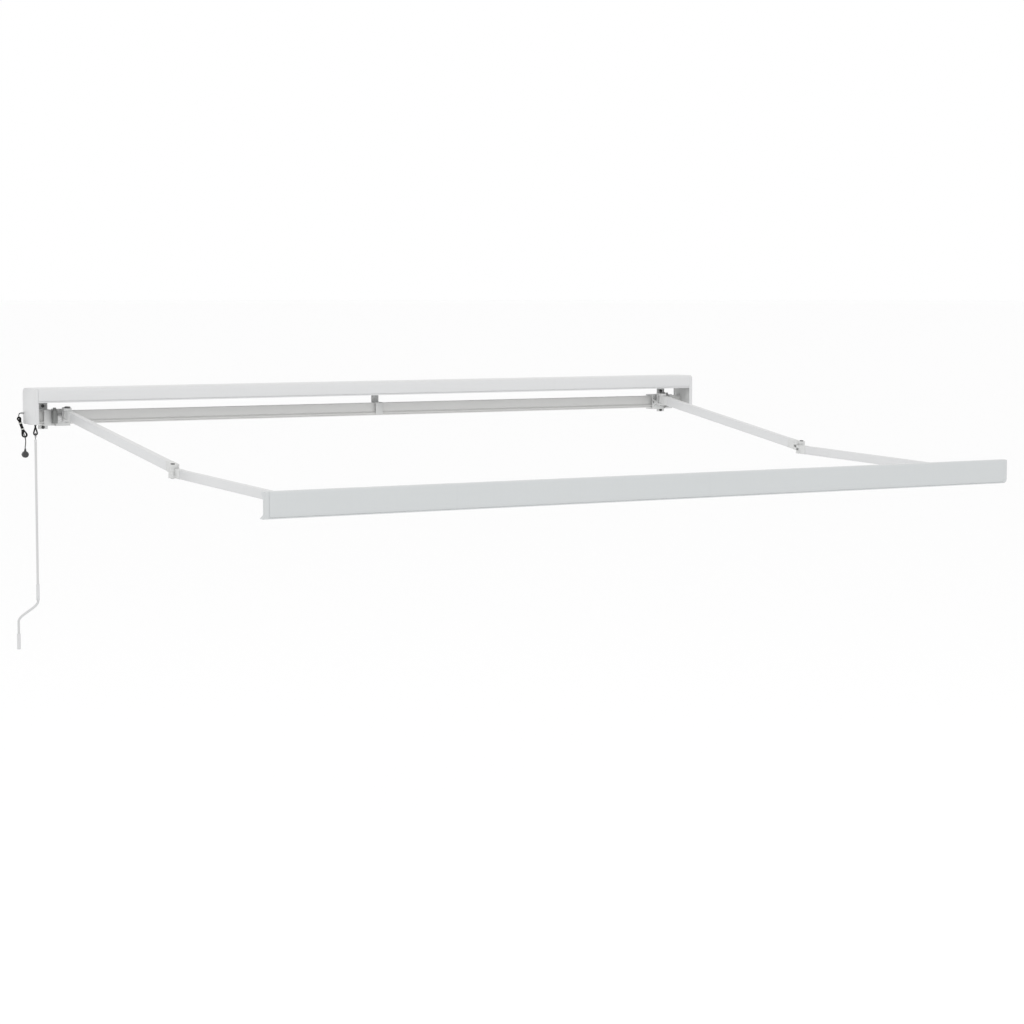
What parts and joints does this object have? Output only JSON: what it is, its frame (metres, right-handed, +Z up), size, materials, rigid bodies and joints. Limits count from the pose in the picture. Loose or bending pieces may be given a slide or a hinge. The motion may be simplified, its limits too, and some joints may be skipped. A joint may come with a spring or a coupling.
{
  "type": "retractable folding-arm awning frame",
  "caption": "Wall-mounted folding-arm awning frame without its cloth: hood, torsion bar, roller, hinged spring arms, front bar, hand crank and motor cable.",
  "frame": {"origin": "on the wall plane at mid-width, level with the middle of the torsion bar", "axes": "+X to the right along the width seen from outside, +Y into the wall, +Z up; the arms reach towards -Y"},
  "size_m": [4.0965, 2.89, 1.322],
  "materials": {
    "white_paint": "white powder coat on aluminium, satin",
    "cast_paint": "white powder coat on aluminium castings, slightly rough",
    "bar_paint": "light grey powder coat on the extruded bar",
    "crank_plastic": "light grey moulded sleeve",
    "grey_plastic": "mid grey moulded plastic",
    "dark_steel": "blackened steel",
    "zinc": "zinc plated steel",
    "black_plastic": "black moulded plastic",
    "cable_black": "black cable sheath",
    "tie_plastic": "pale nylon tie"
  },
  "bodies": {
    "root": {"torsion_bar": "bar_paint", "wall_bracket_left": "cast_paint", "wall_bracket_right": "cast_paint", "bracket_keeper_left": "cast_paint", "bracket_keeper_right": "cast_paint", "wall_bolt_left_upper": "dark_steel", "wall_bolt_left_lower": "dark_steel", "wall_bolt_right_upper": "dark_steel", "wall_bolt_right_lower": "dark_steel", "hood_cover": "white_paint", "end_cap_left": "white_paint", "end_cap_right": "white_paint", "roller_bracket_left": "grey_plastic", "roller_bracket_right": "grey_plastic", "arm_bracket_left": "cast_paint", "arm_bracket_right": "cast_paint", "pitch_adjuster_left": "dark_steel", "pitch_adjuster_right": "dark_steel", "hood_support": "cast_paint", "motor_head": "grey_plastic", "cable_gland": "black_plastic", "power_cable": "cable_black", "cable_hank": "cable_black", "cable_tie": "tie_plastic", "cable_drop": "cable_black", "plug": "black_plastic"},
    "roller": {"roller_tube": "zinc", "roller_end_plug": "black_plastic"},
    "gear_eye": {"gear_eye": "black_plastic"},
    "crank": {"crank_hook": "zinc", "crank_rod": "white_paint"},
    "crank_sleeve": {"crank_sleeve": "crank_plastic"},
    "crank_grip": {"crank_grip": "crank_plastic"},
    "left_fork": {"arm_fork_left": "cast_paint", "shoulder_pin_left": "dark_steel"},
    "left_upper_arm": {"upper_arm_root_left": "cast_paint", "upper_arm_tube_left": "white_paint", "upper_arm_elbow_left": "cast_paint", "arm_spring_left": "zinc"},
    "left_forearm": {"forearm_elbow_left": "cast_paint", "elbow_pin_left": "dark_steel", "forearm_tube_left": "white_paint", "forearm_wrist_left": "cast_paint"},
    "right_fork": {"arm_fork_right": "cast_paint", "shoulder_pin_right": "dark_steel"},
    "right_upper_arm": {"upper_arm_root_right": "cast_paint", "upper_arm_tube_right": "white_paint", "upper_arm_elbow_right": "cast_paint", "arm_spring_right": "zinc"},
    "right_forearm": {"forearm_elbow_right": "cast_paint", "elbow_pin_right": "dark_steel", "forearm_tube_right": "white_paint", "forearm_wrist_right": "cast_paint"},
    "front_bar": {"front_bar": "white_paint", "front_bar_cap_left": "white_paint", "front_bar_cap_right": "white_paint", "wrist_bracket_left": "cast_paint", "wrist_bracket_right": "cast_paint", "wrist_pin_left": "dark_steel", "wrist_pin_right": "dark_steel"}
  },
  "joints": [
    {"name": "left_pitch", "type": "hinge", "parent": "root", "child": "left_fork", "pos_m": [-1.815, -0.106, 0], "axis": [1, 0, 0], "range_deg": [-3, 28]},
    {"name": "left_shoulder", "type": "hinge", "parent": "left_fork", "child": "left_upper_arm", "pos_m": [-1.815, -0.14, 0.016], "axis": [0, -0.0962, 0.9954], "range_deg": [0, 88.5], "stiffness_Nm_per_rad": 8, "springref_deg": -28.65},
    {"name": "left_elbow", "type": "hinge", "parent": "left_upper_arm", "child": "left_forearm", "pos_m": [-1.815, -1.47153, -0.20114], "axis": [0, -0.0962, 0.9954], "range_deg": [-177, 0]},
    {"name": "right_pitch", "type": "hinge", "parent": "root", "child": "right_fork", "pos_m": [1.815, -0.106, 0], "axis": [1, 0, 0], "range_deg": [-3, 28]},
    {"name": "right_shoulder", "type": "hinge", "parent": "right_fork", "child": "right_upper_arm", "pos_m": [1.815, -0.14, 0.016], "axis": [0, -0.0962, 0.9954], "range_deg": [-88.5, 0]},
    {"name": "right_elbow", "type": "hinge", "parent": "right_upper_arm", "child": "right_forearm", "pos_m": [1.815, -1.47153, -0.20114], "axis": [0, -0.0962, 0.9954], "range_deg": [0, 177]},
    {"name": "left_wrist", "type": "hinge", "parent": "left_forearm", "child": "front_bar", "pos_m": [-1.815, -2.82, -0.2431], "axis": [0, -0.0962, 0.9954], "range_deg": [0, 88.5]},
    {"name": "roller_turn", "type": "hinge", "parent": "root", "child": "roller", "pos_m": [0, -0.092, 0.11], "axis": [1, 0, 0], "continuous": true},
    {"name": "gear_eye_turn", "type": "hinge", "parent": "root", "child": "gear_eye", "pos_m": [-1.971, -0.1, -0.036], "axis": [0, 0, 1], "continuous": true},
    {"name": "crank_swing", "type": "hinge", "parent": "gear_eye", "child": "crank", "pos_m": [-1.971, -0.1, -0.084], "axis": [1, 0, 0], "range_deg": [-70, 4]},
    {"name": "crank_sleeve_spin", "type": "hinge", "parent": "crank", "child": "crank_sleeve", "pos_m": [-1.971, -0.1, -0.885], "axis": [0, 0, 1], "continuous": true},
    {"name": "crank_grip_spin", "type": "hinge", "parent": "crank", "child": "crank_grip", "pos_m": [-2.076, -0.1, -1.13], "axis": [0, 0, 1], "continuous": true}
  ],
  "couplings": [
    {"joint": "right_pitch", "follows": "left_pitch", "ratio": 1},
    {"joint": "left_shoulder", "follows": "left_elbow", "ratio": -0.5},
    {"joint": "left_wrist", "follows": "left_elbow", "ratio": -0.5},
    {"joint": "right_shoulder", "follows": "left_elbow", "ratio": 0.5},
    {"joint": "right_elbow", "follows": "left_elbow", "ratio": -1},
    {"joint": "gear_eye_turn", "follows": "roller_turn", "ratio": 7}
  ]
}
